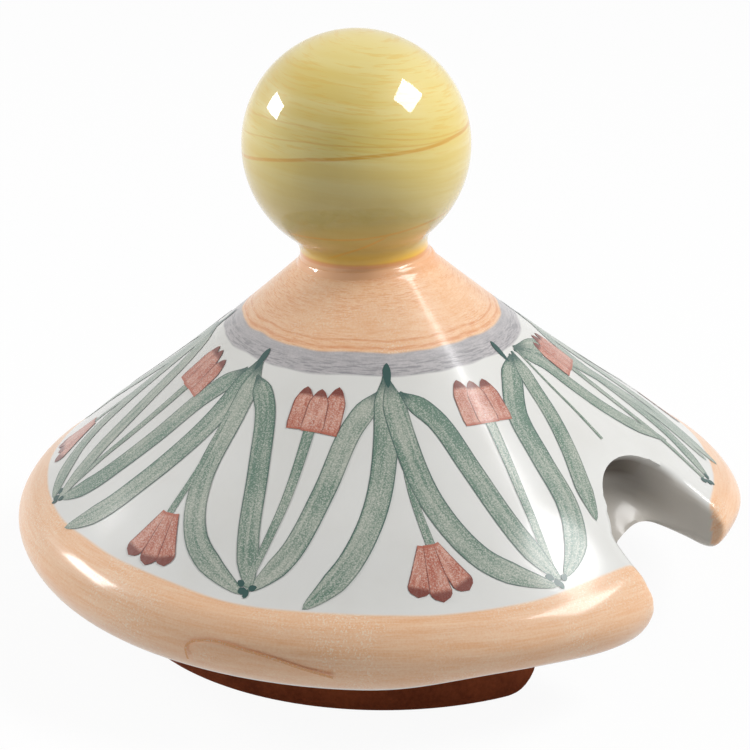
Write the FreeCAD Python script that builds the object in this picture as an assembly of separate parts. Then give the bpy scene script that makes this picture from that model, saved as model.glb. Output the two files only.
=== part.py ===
import FreeCAD, Part
import math
import os

# Rim and flank of the conical lid (millimetres, degrees)
rim_radius = 50.0
rim_bead_radius = 6.4
rim_height = 13.65
shoulder_angle = 35.0
flank_radius = 396.0
wall_thickness = 9.0
underside_fillet = 6.0
crown_radius = 10.0

# Sideways lean of the hand-built cone above its level rim
lean_angle = 3.94
lean_direction = 210.0

# Hollow ball knob on its short neck
ball_radius = 15.1
ball_height = 65.1
ball_wall = 4.0
neck_fillet = 3.0
seat_drop = 1.6
tenon_radius = 5.0
tenon_length = 2.5
vent_radius = 2.0

# Locating ring under the lid
ring_outer_radius = 35.5
ring_wall = 6.0
ring_foot_round = 1.0
ring_root_relief = 1.0
ring_gap_width = 31.2
ring_gap_corner = 5.0
ring_gap_sweep = 22.0

# Room between a pot's lip and the rim's underside at the ring's straight stretch
lip_clearance = 0.25

# Spoon notch in the rim, opening towards +X
notch_depth = 14.6
notch_mouth_width = 25.4
notch_flare_angle = 16.0
notch_corner_radius = 10.5
notch_edge_round = 2.2

# Hollow under the rim, which thins it towards the notch and more on the +Y side
relief_radius = 78.0
relief_rise = 5.15
relief_shift = 8.0

# Layer of slip in both luted joints
slip_thickness = 0.5


def vec(r, z):
    return FreeCAD.Vector(r, 0.0, z)


def toward(start, goal, distance):
    step = goal.sub(start)
    step.normalize()
    return start.add(step.multiply(distance))


def circle_meet(c1, r1, c2, r2, side):
    # point where two circles of the profile plane meet, on the chosen side of the line c1-c2
    line = c2.sub(c1)
    gap = line.Length
    along = (r1 * r1 - r2 * r2 + gap * gap) / (2.0 * gap)
    off = math.sqrt(r1 * r1 - along * along)
    line.normalize()
    across = FreeCAD.Vector(-line.z, 0.0, line.x)
    return c1.add(line.multiply(along)).add(across.multiply(side * off))


def arc(centre, radius, start, end):
    middle = start.add(end).multiply(0.5)
    return Part.Arc(start, toward(centre, middle, radius), end).toShape()


def line(start, end):
    return Part.makeLine(start, end)


def turned(edges):
    # the seam of the turned solid lies at -X, away from the notch
    face = Part.Face(Part.Wire(edges))
    face.rotate(FreeCAD.Vector(0, 0, 0), FreeCAD.Vector(0, 0, 1), 180)
    return face.revolve(FreeCAD.Vector(0, 0, 0), FreeCAD.Vector(0, 0, 1), 360)


def polygon(points):
    return [line(points[i], points[(i + 1) % len(points)]) for i in range(len(points))]


def one_solid(shape):
    return max(shape.Solids, key=lambda solid: solid.Volume)


# Centres of the profile arcs
bead_centre = vec(rim_radius - rim_bead_radius, rim_height)
shoulder = math.radians(shoulder_angle)
shoulder_normal = vec(math.sin(shoulder), math.cos(shoulder))
shoulder_point = bead_centre.add(FreeCAD.Vector(shoulder_normal).multiply(rim_bead_radius))
flank_centre = shoulder_point.add(FreeCAD.Vector(shoulder_normal).multiply(flank_radius))
inner_radius = flank_radius + wall_thickness
ball_centre = vec(0.0, ball_height)
neck_centre = circle_meet(ball_centre, ball_radius + neck_fillet, flank_centre, flank_radius - neck_fillet, -1)
seat_height = neck_centre.z - seat_drop
foot_height = seat_height + slip_thickness
hook_centre = circle_meet(bead_centre, rim_bead_radius + underside_fillet,
                          flank_centre, inner_radius + underside_fillet, 1)
crown_height = flank_centre.z - math.sqrt((inner_radius + crown_radius) ** 2 - flank_centre.x ** 2)
crown_centre = vec(0.0, crown_height)


def neck_reach(z):
    return neck_centre.x - math.sqrt(neck_fillet ** 2 - (z - neck_centre.z) ** 2)


# Leaning frame: shear for the cone, turn for the knob and its joint
lean = math.radians(lean_angle)
lean_x = math.cos(math.radians(lean_direction))
lean_y = math.sin(math.radians(lean_direction))
shear = FreeCAD.Matrix()
shear.A13 = lean_x * math.tan(lean)
shear.A23 = lean_y * math.tan(lean)
shear.A14 = -shear.A13 * rim_height
shear.A24 = -shear.A23 * rim_height
lean_turn = FreeCAD.Placement(FreeCAD.Vector(0, 0, 0),
                              FreeCAD.Rotation(FreeCAD.Vector(-lean_y, lean_x, 0), lean_angle),
                              FreeCAD.Vector(0, 0, rim_height))

# Conical wall: outer flank, round rim, hooked underside, inner crown
flank_top = toward(flank_centre, neck_centre, flank_radius)
neck_top = vec(neck_reach(foot_height), foot_height)
bead_inner = toward(bead_centre, hook_centre, rim_bead_radius)
hook_end = toward(flank_centre, hook_centre, inner_radius)
crown_end = toward(flank_centre, crown_centre, inner_radius)
crown_top = vec(0.0, crown_height + crown_radius)
bead_tip = vec(rim_radius, rim_height)
bead_bottom = vec(bead_centre.x, rim_height - rim_bead_radius)
wall_edges = [line(vec(0.0, foot_height), neck_top),
              arc(neck_centre, neck_fillet, neck_top, flank_top),
              arc(flank_centre, flank_radius, flank_top, shoulder_point),
              arc(bead_centre, rim_bead_radius, shoulder_point, bead_tip),
              arc(bead_centre, rim_bead_radius, bead_tip, bead_bottom),
              arc(bead_centre, rim_bead_radius, bead_bottom, bead_inner),
              arc(hook_centre, underside_fillet, bead_inner, hook_end),
              arc(flank_centre, inner_radius, hook_end, crown_end),
              arc(crown_centre, crown_radius, crown_end, crown_top),
              line(crown_top, vec(0.0, foot_height))]
upright_cone = turned(wall_edges)

# Spoon notch: flared prism with round inner corners
flare = math.radians(notch_flare_angle)
notch_end = rim_radius - notch_depth
corner_x = notch_end + notch_corner_radius
corner_y = (0.5 * notch_mouth_width - (rim_radius - corner_x) * math.tan(flare)
            - notch_corner_radius / math.cos(flare))
mouth_x = rim_radius + rim_bead_radius
mouth_y = 0.5 * notch_mouth_width + (mouth_x - rim_radius) * math.tan(flare)
side_x = corner_x - notch_corner_radius * math.sin(flare)
side_y = corner_y + notch_corner_radius * math.cos(flare)
bend = 0.5 * (math.pi - flare)
bend_x = corner_x - notch_corner_radius * math.cos(0.5 * math.pi - bend + flare)
bend_y = corner_y + notch_corner_radius * math.sin(0.5 * math.pi - bend + flare)


def plan(x, y):
    return FreeCAD.Vector(x, y, 0.0)


notch_edges = [line(plan(notch_end, -corner_y), plan(notch_end, corner_y)),
               Part.Arc(plan(notch_end, corner_y), plan(bend_x, bend_y), plan(side_x, side_y)).toShape(),
               line(plan(side_x, side_y), plan(mouth_x, mouth_y)),
               line(plan(mouth_x, mouth_y), plan(mouth_x, -mouth_y)),
               line(plan(mouth_x, -mouth_y), plan(side_x, -side_y)),
               Part.Arc(plan(side_x, -side_y), plan(bend_x, -bend_y), plan(notch_end, -corner_y)).toShape()]
notch_tool = Part.Face(Part.Wire(notch_edges)).extrude(FreeCAD.Vector(0, 0, seat_height))
notched_cone = one_solid(upright_cone.cut(notch_tool))


def on_notch(edge):
    # an edge of the notch lies on its vertical wall for its whole length
    if edge.Degenerated:
        return False
    points = edge.discretize(5)
    return all(notch_tool.Shells[0].distToShape(Part.Vertex(p))[0] < 0.001 for p in points)


def is_upright(edge):
    spread = edge.BoundBox
    return spread.XLength + spread.YLength < 0.01


loop = [edge for edge in notched_cone.Edges if on_notch(edge) and not is_upright(edge)]
rounded_cone = one_solid(notched_cone.makeFillet(notch_edge_round, loop))
relief_axis = FreeCAD.Vector(0.0, relief_shift, bead_bottom.z + relief_rise - relief_radius)
relief_tool = Part.makeCylinder(relief_radius, 2.0 * rim_radius, relief_axis, FreeCAD.Vector(1, 0, 0))
relieved_cone = one_solid(rounded_cone.cut(relief_tool))
leaning_cone = one_solid(relieved_cone.transformGeometry(shear))

# Seat, socket and vent for the knob
socket_radius = tenon_radius + slip_thickness
socket_floor = seat_height - tenon_length
above_seat = Part.makeCylinder(rim_radius, ball_height, vec(0.0, seat_height))
socket = Part.makeCylinder(socket_radius, 2.0 * tenon_length, vec(0.0, socket_floor))
vent = Part.makeCylinder(vent_radius, ball_height)
seat_tool = above_seat.fuse(socket).fuse(vent)
seat_tool.Placement = lean_turn
lid_wall = one_solid(leaning_cone.cut(seat_tool))

# Hollow ball knob with neck and tenon
tenon_end = foot_height - tenon_length
ball_low = toward(ball_centre, neck_centre, ball_radius)
ball_side = vec(ball_radius, ball_height)
ball_top = vec(0.0, ball_height + ball_radius)
hollow_radius = ball_radius - ball_wall
hollow_low = ball_height - math.sqrt(hollow_radius ** 2 - vent_radius ** 2)
hollow_side = vec(hollow_radius, ball_height)
hollow_top = vec(0.0, ball_height + hollow_radius)
knob_edges = [line(ball_top, hollow_top),
              arc(ball_centre, hollow_radius, hollow_top, hollow_side),
              arc(ball_centre, hollow_radius, hollow_side, vec(vent_radius, hollow_low)),
              line(vec(vent_radius, hollow_low), vec(vent_radius, tenon_end)),
              line(vec(vent_radius, tenon_end), vec(tenon_radius, tenon_end)),
              line(vec(tenon_radius, tenon_end), vec(tenon_radius, foot_height)),
              line(vec(tenon_radius, foot_height), neck_top),
              arc(neck_centre, neck_fillet, neck_top, ball_low),
              arc(ball_centre, ball_radius, ball_low, ball_side),
              arc(ball_centre, ball_radius, ball_side, ball_top)]
ball_knob = turned(knob_edges)
ball_knob.Placement = lean_turn

# Slip filling the knob joint
seat_edge = vec(neck_reach(seat_height), seat_height)
knob_slip_edges = polygon([vec(vent_radius, socket_floor), vec(socket_radius, socket_floor),
                           vec(socket_radius, seat_height), seat_edge, neck_top,
                           vec(tenon_radius, foot_height), vec(tenon_radius, tenon_end),
                           vec(vent_radius, tenon_end)])
knob_slip = turned(knob_slip_edges)
knob_slip.Placement = lean_turn

# Locating ring, its top shaped to the leaning underside.
# It is straight where a pot's mouth stands round it and draws in above, towards its root.
# Its gap lies under the spoon notch and reaches further on the +Y side.
ring_inner_radius = ring_outer_radius - ring_wall
root_radius = ring_outer_radius - ring_root_relief
straight_top = bead_bottom.z - lip_clearance
inner_reach = flank_centre.x - ring_inner_radius
ring_top = flank_centre.z - math.sqrt(inner_radius ** 2 - inner_reach ** 2) + 0.25 * wall_thickness
corner = ring_foot_round * (1.0 - math.sqrt(0.5))
foot_in = vec(ring_inner_radius + corner, corner)
ring_edges = [line(vec(ring_inner_radius + ring_foot_round, 0.0), vec(ring_outer_radius, 0.0)),
              line(vec(ring_outer_radius, 0.0), vec(ring_outer_radius, straight_top)),
              line(vec(ring_outer_radius, straight_top), vec(root_radius, straight_top + ring_root_relief)),
              line(vec(root_radius, straight_top + ring_root_relief), vec(root_radius, ring_top)),
              line(vec(root_radius, ring_top), vec(ring_inner_radius, ring_top)),
              line(vec(ring_inner_radius, ring_top), vec(ring_inner_radius, ring_foot_round)),
              Part.Arc(vec(ring_inner_radius, ring_foot_round), foot_in,
                       vec(ring_inner_radius + ring_foot_round, 0.0)).toShape()]
half_gap = 0.5 * ring_gap_width
gap_bend = ring_gap_corner * (1.0 - math.sqrt(0.5))


def upright(y, z):
    return FreeCAD.Vector(0.0, y, z)


gap_edges = [line(upright(-half_gap - ring_gap_corner, 0.0), upright(half_gap + ring_gap_corner, 0.0)),
             Part.Arc(upright(half_gap + ring_gap_corner, 0.0), upright(half_gap + gap_bend, gap_bend),
                      upright(half_gap, ring_gap_corner)).toShape(),
             line(upright(half_gap, ring_gap_corner), upright(half_gap, 2.0 * ring_top)),
             line(upright(half_gap, 2.0 * ring_top), upright(-half_gap, 2.0 * ring_top)),
             line(upright(-half_gap, 2.0 * ring_top), upright(-half_gap, ring_gap_corner)),
             Part.Arc(upright(-half_gap, ring_gap_corner), upright(-half_gap - gap_bend, gap_bend),
                      upright(-half_gap - ring_gap_corner, 0.0)).toShape()]
gap_tool = Part.Face(Part.Wire(gap_edges)).extrude(FreeCAD.Vector(2.0 * rim_radius, 0, 0))
swept_gap = gap_tool.copy()
swept_gap.rotate(FreeCAD.Vector(0, 0, 0), FreeCAD.Vector(0, 0, 1), ring_gap_sweep)
ring_blank = one_solid(turned(ring_edges).cut(gap_tool).cut(swept_gap))
underside = one_solid(upright_cone.transformGeometry(shear))
slip_bed = underside.translated(FreeCAD.Vector(0, 0, -slip_thickness))
locating_ring = one_solid(ring_blank.cut(slip_bed))

# Slip between the ring's top and the underside
ring_slip = one_solid(ring_blank.cut(locating_ring).cut(underside))

os.makedirs("parts", exist_ok=True)
lid_wall.exportStep("parts/lid_wall.step")
ball_knob.exportStep("parts/ball_knob.step")
knob_slip.exportStep("parts/knob_slip.step")
locating_ring.exportStep("parts/locating_ring.step")
ring_slip.exportStep("parts/ring_slip.step")
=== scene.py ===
import bpy
import bmesh
import math
import random
from mathutils import Matrix, Vector


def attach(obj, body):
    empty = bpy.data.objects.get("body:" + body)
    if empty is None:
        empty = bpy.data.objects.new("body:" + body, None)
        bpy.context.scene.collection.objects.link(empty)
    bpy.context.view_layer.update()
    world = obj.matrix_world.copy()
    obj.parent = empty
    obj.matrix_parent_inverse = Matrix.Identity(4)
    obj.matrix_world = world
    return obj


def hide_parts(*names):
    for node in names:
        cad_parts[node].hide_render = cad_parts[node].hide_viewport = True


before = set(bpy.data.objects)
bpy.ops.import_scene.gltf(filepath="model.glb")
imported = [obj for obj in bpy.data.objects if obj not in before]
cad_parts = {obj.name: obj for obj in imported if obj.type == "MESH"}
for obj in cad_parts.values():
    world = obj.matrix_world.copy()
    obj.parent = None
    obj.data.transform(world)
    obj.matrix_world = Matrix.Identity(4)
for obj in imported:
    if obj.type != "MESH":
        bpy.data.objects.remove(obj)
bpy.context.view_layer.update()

mm = 0.001

# sizes in millimetres and degrees
lidShape = {
    "rimRadius": 49.96,
    "beadRadius": 6.4,
    "rimHeight": 13.65,
    "shoulderAngle": 35.0,
    "shoulderDrop": 0.8,
    "dropReach": (37.0, 46.5),
    "easedBead": ((57.0, 0.65), (79.0, 0.2)),
    "flankRadius": 396.0,
    "wall": 9.0,
    "hookRadius": 6.0,
    "crownRadius": 10.0,
    "wallLean": 3.0,
    "leanAngle": 3.94,
    "leanDirection": 210.0,
    "lobeBead": 3.7,
    "columns": 72,
    "smoothing": 2,
}
knobShape = {
    "ballRadius": 15.1,
    "ballHeight": 65.08,
    "neckFillet": 3.0,
    "seatDrop": 1.6,
    "slip": 0.5,
    "slipHole": 6.5,
    "steps": 144,
}


def polar(centre, radius, angle):
    # angle runs from straight up towards the rim
    a = math.radians(angle)
    return (centre[0] + radius * math.sin(a), centre[1] + radius * math.cos(a))


def angleTo(centre, point):
    return math.degrees(math.atan2(point[0] - centre[0], point[1] - centre[1])) % 360.0


def circleMeet(c1, r1, c2, r2, side):
    gap = math.dist(c1, c2)
    along = (r1 * r1 - r2 * r2 + gap * gap) / (2.0 * gap)
    off = math.sqrt(r1 * r1 - along * along)
    ux, uz = (c2[0] - c1[0]) / gap, (c2[1] - c1[1]) / gap
    return (c1[0] + ux * along - uz * side * off, c1[1] + uz * along + ux * side * off)


def arcPoints(centre, radius, start, end, count):
    return [polar(centre, radius, start + (end - start) * i / count) for i in range(count + 1)]


def smoothShare(value, low, high):
    t = min(1.0, max(0.0, (value - low) / (high - low)))
    return t * t * (3.0 - 2.0 * t)


beadRadius = lidShape["beadRadius"]
flankRadius = lidShape["flankRadius"]
shoulderAngle = lidShape["shoulderAngle"]
beadCentre = (lidShape["rimRadius"] - beadRadius, lidShape["rimHeight"])
shoulderPoint = polar(beadCentre, beadRadius, shoulderAngle)
flankCentre = polar(shoulderPoint, flankRadius, shoulderAngle)
innerRadius = flankRadius + lidShape["wall"]
ballCentre = (0.0, knobShape["ballHeight"])
neckCentre = circleMeet(ballCentre, knobShape["ballRadius"] + knobShape["neckFillet"],
                        flankCentre, flankRadius - knobShape["neckFillet"], -1)
hookCentre = circleMeet(beadCentre, beadRadius + lidShape["hookRadius"],
                        flankCentre, innerRadius + lidShape["hookRadius"], 1)
seatHeight = neckCentre[1] - knobShape["seatDrop"]
footHeight = seatHeight + knobShape["slip"]
crownReach = innerRadius + lidShape["crownRadius"]
crownCentre = (0.0, flankCentre[1] - math.sqrt(crownReach ** 2 - flankCentre[0] ** 2))
lobeCentre = polar(shoulderPoint, lidShape["lobeBead"], shoulderAngle + 180.0)
lobeFoot = polar(lobeCentre, lidShape["lobeBead"], shoulderAngle + 180.0)
hollowRow = 31.0


def flankHeight(r):
    # the hollow sweep of the cone, a little lower towards the rim
    sweep = flankCentre[1] - math.sqrt(flankRadius ** 2 - (flankCentre[0] - r) ** 2)
    return sweep - lidShape["shoulderDrop"] * smoothShare(r, *lidShape["dropReach"])


def innerHeight(r):
    return flankCentre[1] - math.sqrt(innerRadius ** 2 - (flankCentre[0] - r) ** 2)


def lobeHeight(r):
    # straight underside of the slim rim beside the notch, running into the hollow
    if r < hollowRow:
        return innerHeight(r)
    share = (lobeFoot[0] - r) / (lobeFoot[0] - hollowRow)
    return lobeFoot[1] + share * (innerHeight(hollowRow) - lobeFoot[1])


def neckReach(z):
    return neckCentre[0] - math.sqrt(knobShape["neckFillet"] ** 2 - (z - neckCentre[1]) ** 2)


leanTan = math.tan(math.radians(lidShape["wallLean"]))
leanX = math.cos(math.radians(lidShape["leanDirection"])) * leanTan
leanY = math.sin(math.radians(lidShape["leanDirection"])) * leanTan


def leaned(x, y, z):
    # the cone leans sideways above and below its level rim
    lift = z - lidShape["rimHeight"]
    return Vector((x + leanX * lift, y + leanY * lift, z)) * mm


def leanTurn():
    axis = Vector((-leanY, leanX, 0.0)).normalized()
    pivot = Matrix.Translation((0.0, 0.0, lidShape["rimHeight"] * mm))
    return pivot @ Matrix.Rotation(math.radians(lidShape["leanAngle"]), 4, axis) @ pivot.inverted()


def clearSelection():
    bpy.ops.object.select_all(action="DESELECT")


def startPiece(name):
    clearSelection()
    bpy.ops.mesh.primitive_plane_add(size=mm)
    piece = bpy.context.object
    piece.name = name
    piece.data.name = name
    return piece


def drawLine(points):
    # the plane shrinks to one vertex, which is walked along the points; leaves edit mode on
    bpy.ops.object.mode_set(mode="EDIT")
    bpy.ops.mesh.select_mode(type="VERT")
    bpy.ops.mesh.select_all(action="SELECT")
    bpy.ops.mesh.merge(type="CENTER")
    last = Vector(points[0]) * mm
    bpy.ops.transform.translate(value=last)
    for point in points[1:]:
        spot = Vector(point) * mm
        bpy.ops.mesh.extrude_region_move(TRANSFORM_OT_translate={"value": spot - last})
        last = spot
    bpy.ops.mesh.select_all(action="SELECT")


def leaveEdit():
    # the faces are turned outwards first
    bpy.ops.mesh.select_all(action="SELECT")
    bpy.ops.mesh.normals_make_consistent(inside=False)
    bpy.ops.object.mode_set(mode="OBJECT")


def turnedPiece(name, profile, steps):
    # the profile line is spun round the upright axis
    piece = startPiece(name)
    drawLine([(r, 0.0, z) for r, z in profile])
    bpy.ops.mesh.spin(steps=steps, angle=2.0 * math.pi, center=(0, 0, 0), axis=(0, 0, 1))
    bpy.ops.mesh.select_all(action="SELECT")
    bpy.ops.mesh.remove_doubles(threshold=1e-6)
    leaveEdit()
    return piece


def applyModifier(piece, kind, **settings):
    bpy.context.view_layer.objects.active = piece
    bpy.ops.object.modifier_add(type=kind)
    modifier = piece.modifiers[-1]
    for key, value in settings.items():
        setattr(modifier, key, value)
    bpy.ops.object.modifier_apply(modifier=modifier.name)


def smooth(piece, angle):
    clearSelection()
    piece.select_set(True)
    bpy.context.view_layer.objects.active = piece
    bpy.ops.object.shade_smooth_by_angle(angle=math.radians(angle))


def finishPiece(piece, material, slot, *nodes):
    piece.data.materials.clear()
    piece.data.materials.append(material)
    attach(piece, "root")
    if nodes:
        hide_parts(*nodes)


# the node tree that is being wired
wiring = {"tree": None}


def newMaterial(name):
    material = bpy.data.materials.new(name)
    material.use_nodes = True
    wiring["tree"] = material.node_tree
    return material, material.node_tree.nodes["Principled BSDF"]


def addNode(kind):
    return wiring["tree"].nodes.new("ShaderNode" + kind)


def link(output, socket):
    wiring["tree"].links.new(output, socket)


def plug(socket, value):
    if isinstance(value, bpy.types.NodeSocket):
        link(value, socket)
    else:
        socket.default_value = value


def setInputs(node, values):
    for name, value in values.items():
        node.inputs[name].default_value = value


def calc(operation, a, b=0.0, clamp=False):
    node = addNode("Math")
    node.operation = operation
    node.use_clamp = clamp
    plug(node.inputs[0], a)
    plug(node.inputs[1], b)
    return node.outputs[0]


def product(*factors):
    result = factors[0]
    for factor in factors[1:]:
        result = calc("MULTIPLY", result, factor)
    return result


def total(a, b):
    return calc("ADD", a, b)


def less(a, b):
    return calc("SUBTRACT", a, b)


def largest(a, b):
    return calc("MAXIMUM", a, b)


def ramp(value, low, high, toLow=0.0, toHigh=1.0):
    node = addNode("MapRange")
    node.interpolation_type = "SMOOTHSTEP"
    plug(node.inputs["Value"], value)
    setInputs(node, {"From Min": low, "From Max": high, "To Min": toLow, "To Max": toHigh})
    return node.outputs["Result"]


def past(value, line, soft):
    # nothing before the line and one beyond it
    return ramp(value, line - soft, line + soft)


def nearLine(value, line, half, soft):
    # one on the line, falling to nothing beyond its half width
    away = calc("ABSOLUTE", less(value, line))
    return ramp(away, half, half + soft, 1.0, 0.0)


def slanted(x, y, slopeX, slopeY):
    return total(product(x, slopeX), product(y, slopeY))


def blendColour(amount, a, b):
    node = addNode("Mix")
    node.data_type = "RGBA"
    plug(node.inputs[0], amount)
    plug(node.inputs[6], (*a, 1.0) if isinstance(a, tuple) else a)
    plug(node.inputs[7], (*b, 1.0) if isinstance(b, tuple) else b)
    return node.outputs[2]


def noise(vector, scale, detail=2.0, rough=0.5):
    node = addNode("TexNoise")
    plug(node.inputs["Vector"], vector)
    setInputs(node, {"Scale": scale, "Detail": detail, "Roughness": rough})
    return node.outputs["Fac"]


def joinXyz(x, y, z):
    node = addNode("CombineXYZ")
    for i, value in enumerate((x, y, z)):
        plug(node.inputs[i], value)
    return node.outputs[0]


def splitXyz(vector):
    node = addNode("SeparateXYZ")
    link(vector, node.inputs[0])
    return list(node.outputs)


def objectCoords():
    return addNode("TexCoord").outputs["Object"]


def attributeValue(name):
    node = addNode("Attribute")
    node.attribute_name = name
    return node.outputs["Fac"]


def bump(bsdf, height, distance, strength):
    node = addNode("Bump")
    setInputs(node, {"Strength": strength, "Distance": distance})
    plug(node.inputs["Height"], height)
    link(node.outputs["Normal"], bsdf.inputs["Normal"])


# clear gloss over the painted clay, sharper on the ball
glossCoats = {
    "lid": {"Coat Weight": 0.5, "Coat Roughness": 0.13},
    "knob": {"Coat Weight": 1.0, "Coat Roughness": 0.03},
}


def glassyCoat(bsdf, where):
    setInputs(bsdf, {"Roughness": 0.4, "Specular IOR Level": 0.2, "Coat IOR": 1.5})
    setInputs(bsdf, glossCoats[where])


def turnedCoords():
    # radius in millimetres from the leaning axis, unit direction round it, and height
    coord = objectCoords()
    x, y, z = [product(part, 1.0 / mm) for part in splitXyz(coord)]
    lift = less(z, lidShape["rimHeight"])
    u = less(x, product(lift, leanX))
    v = less(y, product(lift, leanY))
    radius = calc("SQRT", total(product(u, u), product(v, v)))
    safe = largest(radius, 0.1)
    return {"coord": coord, "radius": radius, "height": z,
            "east": calc("DIVIDE", u, safe), "north": calc("DIVIDE", v, safe)}


glazeColours = {
    "belt": (0.80, 0.80, 0.775),
    "beltWarm": (0.765, 0.76, 0.73),
    "peachLight": (0.96, 0.675, 0.46),
    "peachDeep": (0.86, 0.47, 0.245),
    "peachSpeck": (0.95, 0.78, 0.62),
    "peachLine": (0.74, 0.29, 0.12),
    "seatLine": (0.78, 0.30, 0.09),
    "greyLight": (0.60, 0.57, 0.58),
    "greyDeep": (0.38, 0.37, 0.385),
    "greyLine": (0.25, 0.245, 0.26),
    "inside": (0.74, 0.70, 0.63),
    "recessShade": (0.09, 0.07, 0.053),
}
# radii of the bands in millimetres; on the front side the rim's band starts lower
glazeZones = {
    "peachEnd": 17.3,
    "greyEnd": 19.9,
    "rimStart": 45.3,
    "edge": 0.16,
    "rimEdge": 0.2,
    "wobble": 1.0,
    "frontWay": (0.5, -0.866),
    "frontReach": (0.75, 0.97),
    "frontDip": 0.9,
}
# brush marks round the lid (turns, marks across, detail) and grain (scale, detail, roughness)
glazeStrokes = {"broad": (5.0, 0.9, 3.0), "fine": (9.0, 3.4, 3.0), "scratch": (7.0, 5.5, 2.0)}
glazeGrain = {
    "grain": (3500.0, 2.0, 0.65),
    "speck": (4200.0, 1.0, 0.5),
    "cloud": (90.0, 3.0, 0.55),
    "patch": (160.0, 1.0, 0.5),
}


def makeLidGlaze():
    material, bsdf = newMaterial("lidGlaze")
    peachEnd = glazeZones["peachEnd"]
    turned = turnedCoords()
    east, north, radius = turned["east"], turned["north"], turned["radius"]
    around = joinXyz(product(east, 3.0), product(north, 3.0), 0.0)
    wobble = product(less(noise(around, 0.9, 1.0), 0.5), glazeZones["wobble"])
    brushed = total(radius, wobble)
    course = less(radius, turned["height"])

    def over(base, amount, name):
        return blendColour(amount, base, glazeColours[name])

    def strokes(name):
        turns, across, detail = glazeStrokes[name]
        place = joinXyz(product(east, turns), product(north, turns), product(course, across))
        return noise(place, 1.0, detail, 0.6)

    broad, fine, scratch = [strokes(name) for name in glazeStrokes]
    grain, speck, cloud, patch = [noise(turned["coord"], *look) for look in glazeGrain.values()]
    brushTone = total(product(ramp(fine, 0.3, 0.7), 0.35), product(ramp(grain, 0.3, 0.7), 0.30))
    tone = total(product(ramp(broad, 0.3, 0.7), 0.35), brushTone)

    peach = blendColour(tone, glazeColours["peachDeep"], glazeColours["peachLight"])
    specks = product(ramp(speck, 0.54, 0.66), ramp(cloud, 0.42, 0.62), 0.7)
    peach = over(peach, specks, "peachSpeck")
    rimPeach = peach
    worn = product(ramp(scratch, 0.52, 0.63), ramp(patch, 0.38, 0.60), 0.5)
    peach = over(peach, worn, "peachLine")
    pair = largest(nearLine(brushed, peachEnd - 0.5, 0.06, 0.22),
                   nearLine(brushed, peachEnd - 1.35, 0.04, 0.16))
    pair = product(pair, ramp(fine, 0.34, 0.58), 0.65)
    peach = over(peach, pair, "peachLine")
    seatEdge = neckReach(seatHeight)
    seat = ramp(radius, seatEdge + 0.1, seatEdge + 0.6, 0.35, 0.0)
    peach = over(peach, seat, "seatLine")
    grey = blendColour(tone, glazeColours["greyDeep"], glazeColours["greyLight"])
    within = ramp(brushed, peachEnd + 0.6, peachEnd + 1.4)
    thread = product(ramp(fine, 0.42, 0.50, 1.0, 0.0), within, 0.55)
    grey = over(grey, thread, "greyLine")
    belt = blendColour(ramp(cloud, 0.35, 0.75), glazeColours["belt"], glazeColours["beltWarm"])

    edge = glazeZones["edge"]
    colour = blendColour(past(brushed, peachEnd, edge), peach, grey)
    colour = blendColour(past(brushed, glazeZones["greyEnd"], edge), colour, belt)
    inner = attributeValue("innerGlaze")
    # painted shade: towards the notch's inner end the plain glaze is darkened to a near-black brown
    inside = blendColour(attributeValue("recessShade"), glazeColours["inside"], glazeColours["recessShade"])
    colour = blendColour(inner, colour, inside)
    front = slanted(east, north, *glazeZones["frontWay"])
    dip = ramp(front, *glazeZones["frontReach"], 0.0, glazeZones["frontDip"])
    rimMask = past(less(brushed, dip), glazeZones["rimStart"], glazeZones["rimEdge"])
    colour = blendColour(product(rimMask, less(1.0, inner)), colour, rimPeach)
    link(colour, bsdf.inputs["Base Color"])
    glassyCoat(bsdf, "lid")
    bump(bsdf, total(cloud, product(broad, 0.35)), 0.00025, 0.10)
    return material


knobColours = {
    "pale": (0.87, 0.72, 0.265),
    "mid": (0.83, 0.635, 0.17),
    "streak": (0.82, 0.53, 0.08),
    # colour of the painted shade on the ball's lower half
    "low": (0.55, 0.41, 0.115),
    "ochre": (0.74, 0.39, 0.05),
    "neck": (0.92, 0.53, 0.03),
    "seat": (0.78, 0.30, 0.07),
}
# brushed lines on the ball: height at its front, slope and bend across it, half width, strength
knobLines = (
    (2.3, 1.0, 0.0, 0.11, 0.85),
    (3.7, -0.7, 0.2, 0.05, 0.40),
    (5.0, -1.9, 0.3, 0.05, 0.30),
    (-9.3, 1.6, 0.9, 0.09, 0.60),
)
# the way across the ball, per millimetre, and how its brushing wavers, slants and stretches
knobBrush = {
    "across": (0.0573, 0.0331),
    "sway": 0.7,
    "slant": 1.5,
    "along": 0.10,
    "upward": 1.5,
    "branchStart": -11.35,
    "branchSlope": 8.6,
}


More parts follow.
